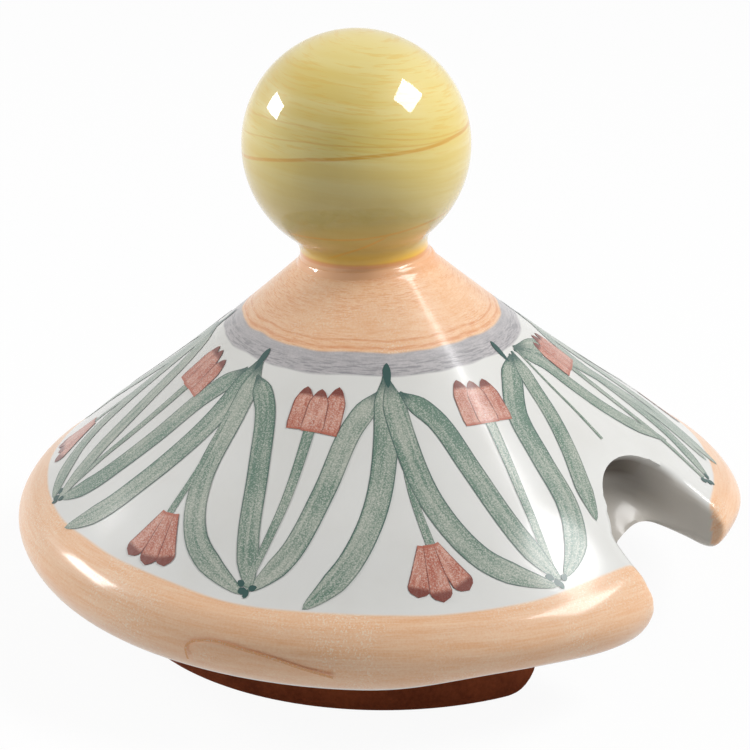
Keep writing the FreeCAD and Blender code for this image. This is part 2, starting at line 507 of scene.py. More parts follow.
def makeKnobGlaze():
    material, bsdf = newMaterial("knobGlaze")
    centre = leanTurn() @ Vector((0.0, 0.0, knobShape["ballHeight"] * mm))
    coord = objectCoords()
    x, y, z = [product(less(part, middle), 1.0 / mm) for part, middle in zip(splitXyz(coord), centre)]

    def over(base, amount, name):
        return blendColour(amount, base, knobColours[name])

    right = slanted(x, y, *knobBrush["across"])
    sway = product(less(noise(coord, 90.0, 1.0), 0.5), knobBrush["sway"])
    height = total(z, sway)
    tilt = total(height, product(right, knobBrush["slant"]))
    brush = joinXyz(product(x, knobBrush["along"]), product(y, knobBrush["along"]),
                    product(tilt, knobBrush["upward"]))
    streak = noise(brush, 2.3, 3.0, 0.6)
    broad = noise(brush, 0.35, 2.0, 0.5)
    cloud = noise(coord, 60.0, 2.0)
    colour = blendColour(ramp(broad, 0.35, 0.65), knobColours["pale"], knobColours["mid"])
    upper = ramp(height, 1.2, 3.0, 0.16, 0.48)
    streaks = product(ramp(streak, 0.50, 0.66), upper)
    colour = over(colour, streaks, "streak")
    # painted shade: the ball's lower half is darkened, most towards the camera's left
    deep = product(ramp(z, -7.0, 4.5, 0.75, 0.0), ramp(right, 0.2, 0.8, 1.0, 0.3))
    colour = over(colour, deep, "low")
    leftDip = calc("MINIMUM", total(right, 0.3), 0.0)
    leftDip = product(leftDip, leftDip, -4.0)
    for start, slope, bend, half, strength in knobLines:
        place = total(product(right, slope), product(right, right, bend))
        place = total(place, start)
        if start > 0.0:
            place = total(place, leftDip)
        mark = nearLine(height, place, half, half * 1.8)
        mark = product(mark, ramp(streak, 0.25, 0.5, 0.5, 1.0), strength)
        colour = over(colour, mark, "ochre")
    rise = total(product(right, knobBrush["branchSlope"]), knobBrush["branchStart"])
    branch = product(nearLine(height, rise, 0.10, 0.2),
                     ramp(right, 0.22, 0.30, 0.6, 0.0), ramp(right, -0.3, -0.15))
    colour = over(colour, branch, "ochre")
    foot = footHeight - knobShape["ballHeight"]
    above = less(z, total(product(right, 0.5), foot))
    neck = product(ramp(above, 1.0, 3.4, 1.0, 0.0), ramp(right, -0.6, 0.4, 0.6, 1.0))
    colour = over(colour, neck, "neck")
    collar = ramp(above, 0.75, 1.05, 1.0, 0.0)
    colour = blendColour(collar, colour, glazeColours["peachDeep"])
    seat = product(nearLine(above, 0.85, 0.12, 0.30), 0.7)
    colour = over(colour, seat, "seat")
    link(colour, bsdf.inputs["Base Color"])
    glassyCoat(bsdf, "knob")
    bump(bsdf, total(cloud, product(streak, 0.15)), 0.0002, 0.06)
    return material


clayColours = {"light": (0.37, 0.088, 0.030), "dark": (0.20, 0.042, 0.014)}


def makeBareClay():
    material, bsdf = newMaterial("bareClay")
    coord = objectCoords()
    broad = noise(coord, 160.0, 4.0, 0.6)
    pits = noise(coord, 1900.0, 3.0, 0.65)
    tone = total(product(broad, 0.7), product(pits, 0.4))
    colour = blendColour(ramp(tone, 0.35, 0.75), clayColours["dark"], clayColours["light"])
    link(colour, bsdf.inputs["Base Color"])
    setInputs(bsdf, {"Roughness": 0.86, "Specular IOR Level": 0.2})
    bump(bsdf, tone, 0.0004, 0.35)
    return material


paintColours = {
    "leafLight": (0.47, 0.50, 0.43),
    "leafDeep": (0.13, 0.225, 0.17),
    "leafLine": (0.05, 0.11, 0.095),
    "petalLight": (0.74, 0.41, 0.32),
    "petalDeep": (0.47, 0.14, 0.09),
    "petalLine": (0.15, 0.022, 0.015),
    "rootDark": (0.03, 0.09, 0.08),
    "loopLight": (0.84, 0.46, 0.22),
    "loopDeep": (0.76, 0.36, 0.14),
    "speck": (0.72, 0.72, 0.67),
}
# light, deep, outline and root colour, then where the root ends and the tip starts on a stroke
paintRecipes = {
    "leafPaint": ("leafLight", "leafDeep", "leafLine", "rootDark", 0.12, 0.955),
    "stemPaint": ("leafLight", "leafDeep", "leafLine", "leafDeep", 0.02, 0.99),
    "petalPaint": ("petalLight", "petalDeep", "petalLine", "petalDeep", 0.08, 0.76),
    "loopPaint": ("loopLight", "loopDeep", "loopDeep", "loopDeep", 0.05, 0.95),
}


def makePaint(name):
    # across and along the stroke come from its own UV map, its strength from the tone attribute
    *shades, rootEnd, tipStart = paintRecipes[name]
    light, deep, lineColour, rootColour = [paintColours[shade] for shade in shades]
    material, bsdf = newMaterial(name)
    uv = addNode("UVMap")
    uv.uv_map = "UVMap"
    side, along = splitXyz(uv.outputs[0])[:2]
    coord = objectCoords()
    tone = attributeValue("tone")
    across = product(calc("ABSOLUTE", less(side, 0.5)), 2.0)
    place = joinXyz(product(side, 5.0), product(along, 2.2),
                    product(tone, 40.0))
    hair = noise(place, 1.0, 3.0, 0.6)
    wash = noise(coord, 200.0, 2.0, 0.5)
    grain = noise(coord, 5200.0, 2.0, 0.7)
    depth = total(product(ramp(hair, 0.32, 0.68), 0.6),
                  product(ramp(wash, 0.32, 0.68), 0.3))
    depth = total(depth, product(ramp(grain, 0.40, 0.62), 0.5))
    depth = calc("ADD", less(depth, 0.16), less(tone, 0.5), clamp=True)
    colour = blendColour(depth, light, deep)
    specks = product(ramp(grain, 0.36, 0.46, 1.0, 0.0), 0.42)
    colour = blendColour(specks, colour, paintColours["speck"])
    tip = product(ramp(along, tipStart, tipStart + 0.10), 0.85)
    edge = product(ramp(across, 0.84, 0.96), ramp(hair, 0.25, 0.5, 0.35, 0.85))
    colour = blendColour(largest(edge, tip), colour, lineColour)
    root = product(ramp(along, rootEnd * 0.3, rootEnd, 1.0, 0.0), 0.8)
    dark = largest(root, ramp(tone, 1.0, 1.1))
    colour = blendColour(dark, colour, rootColour)
    link(colour, bsdf.inputs["Base Color"])
    glassyCoat(bsdf, "lid")
    return material


lidGlaze = makeLidGlaze()
knobGlaze = makeKnobGlaze()
bareClay = makeBareClay()
paints = {name: makePaint(name) for name in paintRecipes}
print("materials made")


def limitProfile(points):
    # moves the cage so that its smoothed surface passes through the wanted profile
    cage = [list(p) for p in points]
    for _ in range(12):
        for i in range(1, len(points) - 1):
            for k in (0, 1):
                smoothed = (cage[i - 1][k] + 4.0 * cage[i][k] + cage[i + 1][k]) / 6.0
                cage[i][k] += points[i][k] - smoothed
    turn = (4.0 + 2.0 * math.cos(2.0 * math.pi / lidShape["columns"])) / 6.0
    return [(p[0] / turn, p[1]) for p in cage]


def lidRows():
    # rows from the crown to the shoulder, two rims with equal row counts, and the hollow
    notchRow = lidShape["rimRadius"] - notchShape["depth"]
    neckTouch = polar(flankCentre, flankRadius, angleTo(flankCentre, neckCentre))
    top = [(0.0, footHeight + 0.5), (4.0, footHeight + 0.5), (7.4, footHeight + 0.45),
           (8.6, footHeight + 0.1), (neckReach(seatHeight), seatHeight), neckTouch]
    flankRows = [neckTouch[0] + 1.6, neckTouch[0] + 4.5, 18.0, 21.5, 25.0, 28.5, 32.0, notchRow,
                 38.2, 41.0, 43.4, 45.6]
    notchIndex = len(top) + flankRows.index(notchRow)
    top += [(r, flankHeight(r)) for r in flankRows]
    top.append((shoulderPoint[0], flankHeight(shoulderPoint[0])))
    eased = [(a, share * lidShape["shoulderDrop"]) for a, share in lidShape["easedBead"]]
    thick = [polar(beadCentre, beadRadius - drop, a) for a, drop in eased]
    hookStart, hookEnd = angleTo(hookCentre, beadCentre), angleTo(flankCentre, hookCentre) - 180.0
    beadEnd = angleTo(beadCentre, hookCentre)
    thick += arcPoints(beadCentre, beadRadius, 101.0, beadEnd, 6)
    thick += arcPoints(hookCentre, lidShape["hookRadius"], hookStart, hookEnd, 3)[1:]
    thin = [polar(lobeCentre, lidShape["lobeBead"] - drop, a) for a, drop in eased]
    thin += arcPoints(lobeCentre, lidShape["lobeBead"], 101.0, shoulderAngle + 180.0, 3)
    thin += [(r, lobeHeight(r)) for r in (42.0, 39.8, 37.6, 35.6, 33.6, 31.6)]
    crownAngle = angleTo(flankCentre, crownCentre) - 180.0
    crown = arcPoints(crownCentre, lidShape["crownRadius"], crownAngle, 0.0, 4)[:-1]
    crown.append((0.0, crownCentre[1] + lidShape["crownRadius"]))
    thick += [(r, innerHeight(r)) for r in (hollowRow, 26.5, 22.0, 17.5, 13.0, 9.5)]
    thin += [(r, innerHeight(r)) for r in (29.4, 25.8, 21.8, 17.5, 13.0, 9.5)]
    return top, thick + crown, thin + crown, notchIndex


# ranges are in millimetres out from the axis, except dropAcross, which is sideways
notchShape = {
    "depth": 14.6,
    "mouthWidth": 25.4,
    "flareAngle": 16.0,
    "cornerRadius": 10.5,
    "halfAngle": 15.0,
    "tipCut": 1.3,
    "tipEase": (44.5, 49.0),
    "spread": 9.0,
    "coveUpper": 6.0,
    "coveLower": 4.0,
    "coveReach": (36.5, 43.0),
    "lowDrop": 3.4,
    "dropReach": (38.0, 44.0),
    "dropAcross": (1.0, 7.0),
    "crispEdge": 0.8,
    "crispReach": (37.0, 42.0),
}


def notchOutline():
    # middle of the round end, and where the flared sides begin
    flare = math.radians(notchShape["flareAngle"])
    radius = notchShape["cornerRadius"]
    middleX = lidShape["rimRadius"] - notchShape["depth"] + radius
    middleY = notchSide(middleX) - radius / math.cos(flare)
    return middleX, middleY, middleX - radius * math.sin(flare)


def notchSide(x):
    flare = math.radians(notchShape["flareAngle"])
    return 0.5 * notchShape["mouthWidth"] - (lidShape["rimRadius"] - x) * math.tan(flare)


def notchGap(x, y):
    # distance in plan from the notch's outline, negative within the notch
    middleX, middleY, sideStart = notchOutline()
    if x > sideStart:
        return (abs(y) - notchSide(x)) * math.cos(math.radians(notchShape["flareAngle"]))
    return math.hypot(x - middleX, max(0.0, abs(y) - middleY)) - notchShape["cornerRadius"]


def notchEdge(x, y):
    # place on the outline for a point of the rough cut, with the rim corners eased back
    middleX, middleY, sideStart = notchOutline()
    if x > sideStart:
        px, py = x, math.copysign(notchSide(x), y)
    elif abs(y) <= middleY:
        px, py = middleX - notchShape["cornerRadius"], y
    else:
        dx, dy = x - middleX, abs(y) - middleY
        scale = notchShape["cornerRadius"] / math.hypot(dx, dy)
        px, py = middleX + dx * scale, math.copysign(middleY + dy * scale, y)
    r = math.hypot(px, py)
    eased = (r - notchShape["tipCut"] * smoothShare(r, *notchShape["tipEase"])) / r
    return px * eased, py * eased


def cutNotch(piece, topRow, shoulderRow, lowRow):
    # cage rows: the outermost of the rim, and those of the straight underside beside the notch
    tipRow, slimRows = shoulderRow + 2, range(shoulderRow + 7, shoulderRow + 16)
    half = math.radians(notchShape["halfAngle"])
    bpy.context.view_layer.objects.active = piece
    bpy.ops.object.mode_set(mode="EDIT")
    bpy.ops.mesh.select_mode(type="FACE")
    bpy.ops.mesh.select_all(action="DESELECT")
    mesh = bmesh.from_edit_mesh(piece.data)
    rowOf = mesh.verts.layers.int["row"]
    for face in mesh.faces:
        middle = face.calc_center_median()
        inside = abs(math.atan2(middle.y, middle.x)) < half
        face.select_set(inside and all(topRow <= v[rowOf] <= lowRow for v in face.verts))
    bmesh.update_edit_mesh(piece.data)
    bpy.ops.mesh.delete(type="FACE")
    bpy.ops.mesh.select_mode(type="EDGE")
    bpy.ops.mesh.select_all(action="DESELECT")
    mesh = bmesh.from_edit_mesh(piece.data)
    rowOf = mesh.verts.layers.int["row"]
    spots = {v: v.co.copy() for e in mesh.edges if e.is_boundary for v in e.verts}
    # the cut's edge moves to the outline and takes what is near it along
    moves = {}
    for v, spot in spots.items():
        x, y = notchEdge(spot.x / mm, spot.y / mm)
        drop = 0.0
        if v[rowOf] > tipRow:
            drop = notchShape["lowDrop"] * (1.0 - smoothShare(y, *notchShape["dropAcross"]))
            drop *= 1.0 - smoothShare(x, *notchShape["dropReach"])
        moves[v] = Vector((x * mm - spot.x, y * mm - spot.y, -drop * mm))
    for v in mesh.verts:
        if v not in spots:
            near = min(spots, key=lambda e: (spots[e] - v.co).length)
            share = max(0.0, 1.0 - (spots[near] - v.co).length / (notchShape["spread"] * mm))
            if share > 0.0:
                moves[v] = moves[near] * share * share
    for v, move in moves.items():
        before = math.hypot(v.co.x, v.co.y) / mm
        v.co += move
        after = math.hypot(v.co.x, v.co.y) / mm
        if v[rowOf] <= shoulderRow:
            v.co.z += (flankHeight(after) - flankHeight(before)) * mm
        elif v[rowOf] in slimRows:
            v.co.z += (lobeHeight(after) - lobeHeight(before)) * mm
    creases = mesh.edges.layers.float
    crease = creases.get("crease_edge") or creases.new("crease_edge")
    rowOf = mesh.verts.layers.int["row"]
    for e in [e for e in mesh.edges if e.is_boundary]:
        first, second = e.verts
        e.select_set((first[rowOf] <= tipRow) == (second[rowOf] <= tipRow))
        if max(first[rowOf], second[rowOf]) <= shoulderRow:
            x = 0.5 * (first.co.x + second.co.x) / mm
            e[crease] = notchShape["crispEdge"] * (1.0 - smoothShare(x, *notchShape["crispReach"]))
    bmesh.update_edit_mesh(piece.data)
    known = {v.co.copy().freeze() for v in mesh.verts}
    bpy.ops.mesh.bridge_edge_loops(number_cuts=2, interpolation="LINEAR")
    mesh = bmesh.from_edit_mesh(piece.data)
    # the wall is hollowed under the inner end's upper edge
    for v in mesh.verts:
        if v.co.copy().freeze() not in known:
            r = math.hypot(v.co.x, v.co.y) / mm
            upper = v.co.z / mm > 0.5 * (flankHeight(r) + lobeHeight(r))
            share = 1.0 - smoothShare(v.co.x / mm, *notchShape["coveReach"])
            v.co.x -= share * notchShape["coveUpper" if upper else "coveLower"] * mm
    bmesh.update_edit_mesh(piece.data)
    leaveEdit()


# where the plain glaze starts below the surface or under the rim, and where painted shade darkens the
# notch's inner end
innerGlaze = {
    "rimMargin": 0.3,
    "depth": (0.7, 1.8),
    "facingDown": (0.74, 0.82),
    "recessStart": 28.0,
    "recessHalf": 13.0,
    "recessSkew": 0.4,
    "recessReach": (33.5, 45.0),
    "recessDepth": (5.0, 9.0),
}


def markInnerGlaze(piece):
    # the hollow and the walls of the notch keep the plain glaze, with painted shade darkening it at
    # the notch's inner end;
    # the rim's paint ends under the rim
    glaze = piece.data.attributes.new("innerGlaze", "FLOAT", "POINT")
    recessShade = piece.data.attributes.new("recessShade", "FLOAT", "POINT")
    for i, v in enumerate(piece.data.vertices):
        x, y, z = v.co / mm
        lift = z - lidShape["rimHeight"]
        r = math.hypot(x - leanX * lift, y - leanY * lift)
        if r < glazeZones["rimStart"] + innerGlaze["rimMargin"]:
            depth = flankHeight(r) - z
            glaze.data[i].value = smoothShare(depth, *innerGlaze["depth"])
            # painted shade at the notch's inner end, strongest just under its upper edge and half as
            # strong deep down
            if x > innerGlaze["recessStart"] and abs(y) < innerGlaze["recessHalf"]:
                out = x + innerGlaze["recessSkew"] * y
                thin = 1.0 - smoothShare(out, *innerGlaze["recessReach"])
                low = smoothShare(depth, *innerGlaze["recessDepth"])
                recessShade.data[i].value = thin * (1.0 - 0.5 * low)
        else:
            glaze.data[i].value = smoothShare(-v.normal.z, *innerGlaze["facingDown"])


# how far the rim is slimmed, and between which degrees round the lid from the notch's middle
rimSlim = {
    "nearLobe": 0.36,
    "nearMost": 0.50,
    "front": 0.20,
    "leftRise": (-180.0, -140.0),
    "nearRise": (-62.0, -42.0),
    "nearFall": (-36.0, -20.0),
    "notch": (-12.0, 8.0),
    "farFall": (20.0, 50.0),
}


def slimShare(turn):
    near, most, front = rimSlim["nearLobe"], rimSlim["nearMost"], rimSlim["front"]
    notchStart, notchEnd = rimSlim["notch"]
    if turn > notchEnd:
        return 1.0 - smoothShare(turn, *rimSlim["farFall"])
    if turn > notchStart:
        return near + (1.0 - near) * smoothShare(turn, notchStart, notchEnd)
    share = front * smoothShare(turn, *rimSlim["leftRise"])
    share += (most - front) * smoothShare(turn, *rimSlim["nearRise"])
    return share - (most - near) * smoothShare(turn, *rimSlim["nearFall"])


def makeLidWall():
    top, thick, thin, notchIndex = lidRows()
    thickCage = limitProfile(top + thick)
    thinCage = limitProfile(top + thin)
    piece = turnedPiece("lidWall", thickCage, lidShape["columns"])
    rowMark = piece.data.attributes.new("row", "INT", "POINT")
    for i, v in enumerate(piece.data.vertices):
        r, z = math.hypot(v.co.x, v.co.y) / mm, v.co.z / mm
        row = min(range(len(thickCage)), key=lambda k: math.dist(thickCage[k], (r, z)))
        rowMark.data[i].value = row
        share = slimShare(math.degrees(math.atan2(v.co.y, v.co.x)))
        if share > 0.0 and r > 1.0:
            scale = 1.0 + share * (thinCage[row][0] / thickCage[row][0] - 1.0)
            v.co.x *= scale
            v.co.y *= scale
            v.co.z += share * (thinCage[row][1] - thickCage[row][1]) * mm
    cutNotch(piece, notchIndex, len(top) - 1, len(top) + 9)
    piece.data.attributes.remove(piece.data.attributes["row"])
    for v in piece.data.vertices:
        v.co = leaned(v.co.x / mm, v.co.y / mm, v.co.z / mm)
    levels = lidShape["smoothing"]
    applyModifier(piece, "SUBSURF", levels=levels, render_levels=levels)
    markInnerGlaze(piece)
    smooth(piece, 80.0)
    finishPiece(piece, lidGlaze, "wall_glaze", "lid_wall")
    print("lid wall", len(piece.data.polygons), "faces")


makeLidWall()


def makeKnob():
    ball = knobShape["ballRadius"]
    touch = angleTo(ballCentre, neckCentre)
    neckTop = angleTo(neckCentre, ballCentre)
    foot = (neckReach(footHeight), footHeight)
    neckLow = angleTo(neckCentre, foot)
    profile = [(0.0, footHeight), (4.0, footHeight), foot]
    profile += arcPoints(neckCentre, knobShape["neckFillet"], neckLow, neckTop, 12)[1:]
    profile += arcPoints(ballCentre, ball, touch, 0.0, 60)[1:-1]
    profile.append((0.0, ballCentre[1] + ball))
    piece = turnedPiece("ballKnob", profile, knobShape["steps"])
    piece.data.transform(leanTurn())
    smooth(piece, 50.0)
    finishPiece(piece, knobGlaze, "knob_glaze", "ball_knob")


def makeKnobSlip():
    low, high, hole = seatHeight - 0.35, footHeight + 0.25, knobShape["slipHole"]
    count = 6
    rim = [low + (high - low) * i / count for i in range(count + 1)]
    profile = [(hole, low)]
    profile += [(neckReach(z) + 0.1 * math.sin(math.pi * i / count), z) for i, z in enumerate(rim)]
    profile += [(hole, high), (hole, low)]
    piece = turnedPiece("knobSlip", profile, knobShape["steps"])
    piece.data.transform(leanTurn())
    smooth(piece, 60.0)
    finishPiece(piece, knobGlaze, "slip", "knob_slip")


makeKnob()
makeKnobSlip()
print("knob made")


ringShape = {
    "outer": 35.5,
    "wall": 6.0,
    "straightTop": 7.0,
    "rootRelief": 1.0,
    "footRound": 1.0,
    "gapWidth": 31.2,
    "gapCorner": 5.0,
    "gapSweep": 22.0,
    "cutLow": -4.0,
    "cutHigh": 30.0,
    "cutReach": 60.0,
    "steps": 160,
}


def cutRingGap(piece, turn):
    half, bend = 0.5 * ringShape["gapWidth"], ringShape["gapCorner"]
    low, high = ringShape["cutLow"], ringShape["cutHigh"]
    side = [polar((half + bend, bend), bend, 180.0 + 90.0 * i / 8) for i in range(9)]
    outline = [(half + bend, low)] + side + [(half, high), (-half, high)]
    outline += [(-y, z) for y, z in reversed(side)] + [(-half - bend, low)]
    cutter = startPiece("gapCutter")
    drawLine([(0.0, y, z) for y, z in outline])
    bpy.ops.mesh.edge_face_add()
    reach = Vector((ringShape["cutReach"], 0.0, 0.0)) * mm
    bpy.ops.mesh.extrude_region_move(TRANSFORM_OT_translate={"value": reach})
    leaveEdit()
    cutter.data.transform(Matrix.Rotation(math.radians(turn), 4, "Z"))
    applyModifier(piece, "BOOLEAN", operation="DIFFERENCE", object=cutter, solver="EXACT")
    bpy.data.objects.remove(cutter)


def makeRing():
    outer, inner = ringShape["outer"], ringShape["outer"] - ringShape["wall"]
    corner, straight = ringShape["footRound"], ringShape["straightTop"]
    root = outer - ringShape["rootRelief"]
    profile = [(inner, innerHeight(inner) - 0.4)]
    profile += [(inner, z) for z in (12.0, 6.0)]
    profile += arcPoints((inner + corner, corner), corner, 270.0, 180.0, 4)
    profile += arcPoints((outer - corner, corner), corner, 180.0, 90.0, 4)
    profile += [(outer, straight), (root, straight + ringShape["rootRelief"])]
    profile += [(root, 12.0), (root, innerHeight(root) - 0.9), (inner, innerHeight(inner) - 0.4)]
    piece = turnedPiece("locatingRing", profile, ringShape["steps"])
    cutRingGap(piece, 0.0)
    cutRingGap(piece, ringShape["gapSweep"])
    smooth(piece, 35.0)
    finishPiece(piece, bareClay, "bare_clay", "locating_ring")


makeRing()
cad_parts["ring_slip"].data.materials.clear()
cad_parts["ring_slip"].data.materials.append(bareClay)
print("ring made")


# painted frieze of leaf clumps and tulips, repeated round the belt
frieze = {
    "repeats": 7,
    "firstAngle": -56.0,
    "topRadius": 20.2,
    "lowRadius": 44.9,
    "slope": 38.0,
    "proud": 0.05,
    "layer": 0.002,
    "layers": 9,
    "pathSteps": 48,
    "shortest": 12,
    "notchMargin": 1.6,
    "notchRepeat": 1,
    "leafShake": 0.016,
    "stemShake": 0.01,
    "rootShake": 0.004,
    "rootTone": 1.2,
    "seed": 11,
}
# width in millimetres, then places as (share of a repeat, share of the belt)
leafStrokes = {
    "outerLeft": (3.0, ((-0.03, 0.05), (-0.22, 0.24), (-0.30, 0.52), (-0.37, 0.80),
                        (-0.495, 0.985))),
    "innerLeft": (3.4, ((0.02, -0.02), (-0.02, 0.25), (-0.09, 0.55), (-0.18, 0.83), (-0.30, 1.05))),
    "innerRight": (3.3, ((0.04, 0.00), (0.09, 0.26), (0.15, 0.56), (0.28, 0.84), (0.49, 1.005))),
    "outerRight": (3.0, ((0.08, 0.05), (0.27, 0.20), (0.37, 0.45), (0.44, 0.77), (0.50, 0.99))),
}
stemStrokes = {
    "hanging": (1.1, ((0.05, 0.25), (0.08, 0.50), (0.10, 0.76))),
    "upright": (1.5, ((0.50, 0.97), (0.54, 0.60), (0.58, 0.23))),
}
rootStrokes = {
    "crown": (1.0, ((0.032, -0.075), (0.03, -0.03), (0.03, 0.04))),
    "crumbA": (0.9, ((-0.535, 0.955), (-0.525, 0.965), (-0.512, 0.975))),
    "crumbB": (1.1, ((-0.520, 0.985), (-0.508, 0.992), (-0.494, 0.990))),
    "crumbC": (0.8, ((-0.498, 1.022), (-0.496, 1.005), (-0.497, 0.985))),
    "crumbD": (0.9, ((-0.492, 0.985), (-0.480, 0.978), (-0.468, 0.965))),
}
# the clump over the notch, in degrees round the lid and millimetres from the axis
notchStrokes = {
    "nearStrap": (3.2, ((1.0, 20.6), (-8.0, 22.8), (-16.0, 26.3), (-18.5, 31.5), (-20.0, 37.0),
                        (-23.5, 41.3), (-29.0, 44.4))),
    "nearLeaf": (2.6, ((3.0, 20.4), (-2.0, 24.0), (-5.5, 28.0), (-9.5, 32.0), (-13.5, 36.0),
                       (-16.5, 40.0))),
    "farLeaf": (2.9, ((5.0, 20.4), (12.5, 23.0), (14.5, 27.0), (16.0, 30.5), (19.0, 34.5),
                      (24.0, 39.0))),
    "farStrap": (3.2, ((6.0, 20.2), (24.0, 23.0), (32.0, 28.0), (35.0, 34.0), (34.0, 40.0),
                       (30.0, 44.6))),
}
notchStem = (0.55, ((6.0, 20.6), (4.8, 25.0), (4.2, 29.0), (3.0, 33.0)))
# thin loop on the rim: degrees round the lid and degrees round the bead
loopStroke = ((-89.0, 108.0), (-89.0, 92.0), (-87.5, 82.0), (-84.0, 77.0), (-80.0, 80.5),
              (-75.5, 86.0), (-71.5, 94.0), (-67.0, 103.0))
friezeRandom = random.Random(frieze["seed"])
period = 360.0 / frieze["repeats"]
slopeShare = math.cos(math.radians(frieze["slope"]))


def surfacePoint(angle, r, proud):
    # beyond the shoulder the radius counts on as a length round the bead
    a = math.radians(angle)
    if r <= shoulderPoint[0]:
        z = flankHeight(r)
        nr = (flankCentre[0] - r) / flankRadius
        nz = (flankCentre[1] - z) / flankRadius
        r, z = r + nr * proud, z + nz * proud
    else:
        beyond = math.degrees((r - shoulderPoint[0]) / beadRadius)
        turn = shoulderAngle + beyond
        r, z = polar(beadCentre, beadRadius + proud, turn)
    return leaned(r * math.cos(a), r * math.sin(a), z)


def strokePath(points, count):
    # a smooth line through all the places
    path = []
    last = len(points) - 1
    for i in range(count + 1):
        spot = min(last - 1, int(i * last / count))
        t = i * last / count - spot
        near = [points[min(last, max(0, spot + k))] for k in (-1, 0, 1, 2)]
        path.append(tuple(b + 0.5 * t * (c - a + t * (2.0 * a - 5.0 * b + 4.0 * c - d
                                                     + t * (3.0 * (b - c) + d - a)))
                          for a, b, c, d in zip(*near)))
    return path


def placed(centreAngle, a, b):
    r = frieze["topRadius"] + b * (frieze["lowRadius"] - frieze["topRadius"])
    return centreAngle + a * period, r


def tipShare(t, length):
    # narrows to nothing over the last part of a stroke
    return min(1.0, max(0.0, (1.0 - t) / length))


def leafWidth(t):
    return (0.15 + 0.85 * smoothShare(t, 0.0, 0.16)) * tipShare(t, 0.17) ** 0.7


def stemWidth(t):
    return 0.6 + 0.4 * t


def petalWidth(t):
    return (0.88 + 0.12 * smoothShare(t, 0.0, 0.15) - 0.22 * t) * tipShare(t, 0.34) ** 0.55


def bellWidth(t):
    return (0.42 + 0.58 * t) * tipShare(t, 0.16) ** 0.5


def blobWidth(t):
    return max(0.0, math.sin(math.pi * t)) ** 0.9


def paintStroke(path, width, shape, tone, lift, along=36, across=4):
    # a small grid is laid on the cone along its path, so its UV map runs along the brush
    clearSelection()
    bpy.ops.mesh.primitive_grid_add(x_subdivisions=across, y_subdivisions=along, size=1.0,
                                    calc_uvs=True)
    stroke = bpy.context.object
    count = len(path) - 1
    for v in stroke.data.vertices:
        u, t = v.co.x, v.co.y + 0.5
        spot = min(count - 1, int(t * count))
        share = t * count - spot
        (a0, r0), (a1, r1) = path[spot], path[spot + 1]
        before, after = path[max(0, spot - 1)], path[min(count, spot + 2)]
        angle, r = a0 + (a1 - a0) * share, r0 + (r1 - r0) * share
        da, dr = math.radians(after[0] - before[0]) * r, (after[1] - before[1]) / slopeShare
        reach = math.hypot(da, dr) or 1.0
        side = u * width * shape(min(1.0, max(0.0, t)))
        angle += math.degrees(dr / reach * side / r)
        r -= da / reach * side * slopeShare
        v.co = surfacePoint(angle, r, frieze["proud"] + lift)
    mark = stroke.data.attributes.new("tone", "FLOAT", "POINT")
    mark.data.foreach_set("value", [tone] * len(stroke.data.vertices))
    return stroke


def clearOfNotch(path, width):
    # a brush mark stops before it would run over the edge of the notch
    kept = []
    for angle, r in path:
        a = math.radians(angle)
        if notchGap(r * math.cos(a), r * math.sin(a)) < frieze["notchMargin"] + 0.5 * width:
            break
        kept.append((angle, r))
    return kept


def layerLift(strokes):
    # overlapping strokes lie in thin layers
    return frieze["layer"] * (len(strokes) % frieze["layers"])


def layStroke(path, width, shape, tone, strokes):
    # lays as much of the path as the notch leaves free, and tells whether it was all of it
    kept = clearOfNotch(path, width)
    width *= friezeRandom.uniform(0.92, 1.08)
    if len(kept) < frieze["shortest"]:
        return False
    strokes.append(paintStroke(kept, width, shape, tone, layerLift(strokes)))
    return len(kept) == len(path)


# flowers: place in the repeat, way they point in degrees, petals' length, spread and spacing
tulips = {
    "hanging": {"place": (0.10, 0.77), "heading": 6.0, "length": 7.4, "flare": 17.0,
                "spacing": 0.8, "shape": bellWidth, "stemTone": 0.62},
    "upright": {"place": (0.58, 0.245), "heading": 176.0, "length": 6.7, "flare": 4.0,
                "spacing": 2.0, "shape": petalWidth, "stemTone": 0.55},
}
petalShape = {"width": 3.2, "room": 3.0, "steps": 12, "lift": 0.02, "layer": 0.003}


def tulip(angle, r, look, petals):
    toward = math.radians(look["heading"])
    steps = petalShape["steps"]
    for k, side in enumerate((-1.0, 1.0, 0.0)):
        start = angle + math.degrees(math.cos(toward) * side * look["spacing"] / r)
        startR = r - math.sin(toward) * side * look["spacing"] * slopeShare
        course = look["heading"] + side * look["flare"] + friezeRandom.uniform(-4.0, 4.0)
        course = math.radians(course)
        length = look["length"] * friezeRandom.uniform(0.92, 1.04)
        path = []
        for i in range(steps + 1):
            reach = length * (i / steps - 0.05)
            path.append((start + math.degrees(math.sin(course) * reach / r),
                         startR + math.cos(course) * reach * slopeShare))
        if len(clearOfNotch(path, petalShape["room"])) == len(path):
            tone = 0.5 + friezeRandom.uniform(-0.15, 0.2)
            lift = petalShape["lift"] + petalShape["layer"] * k
            petals.append(paintStroke(path, petalShape["width"], look["shape"], tone, lift, 16, 6))


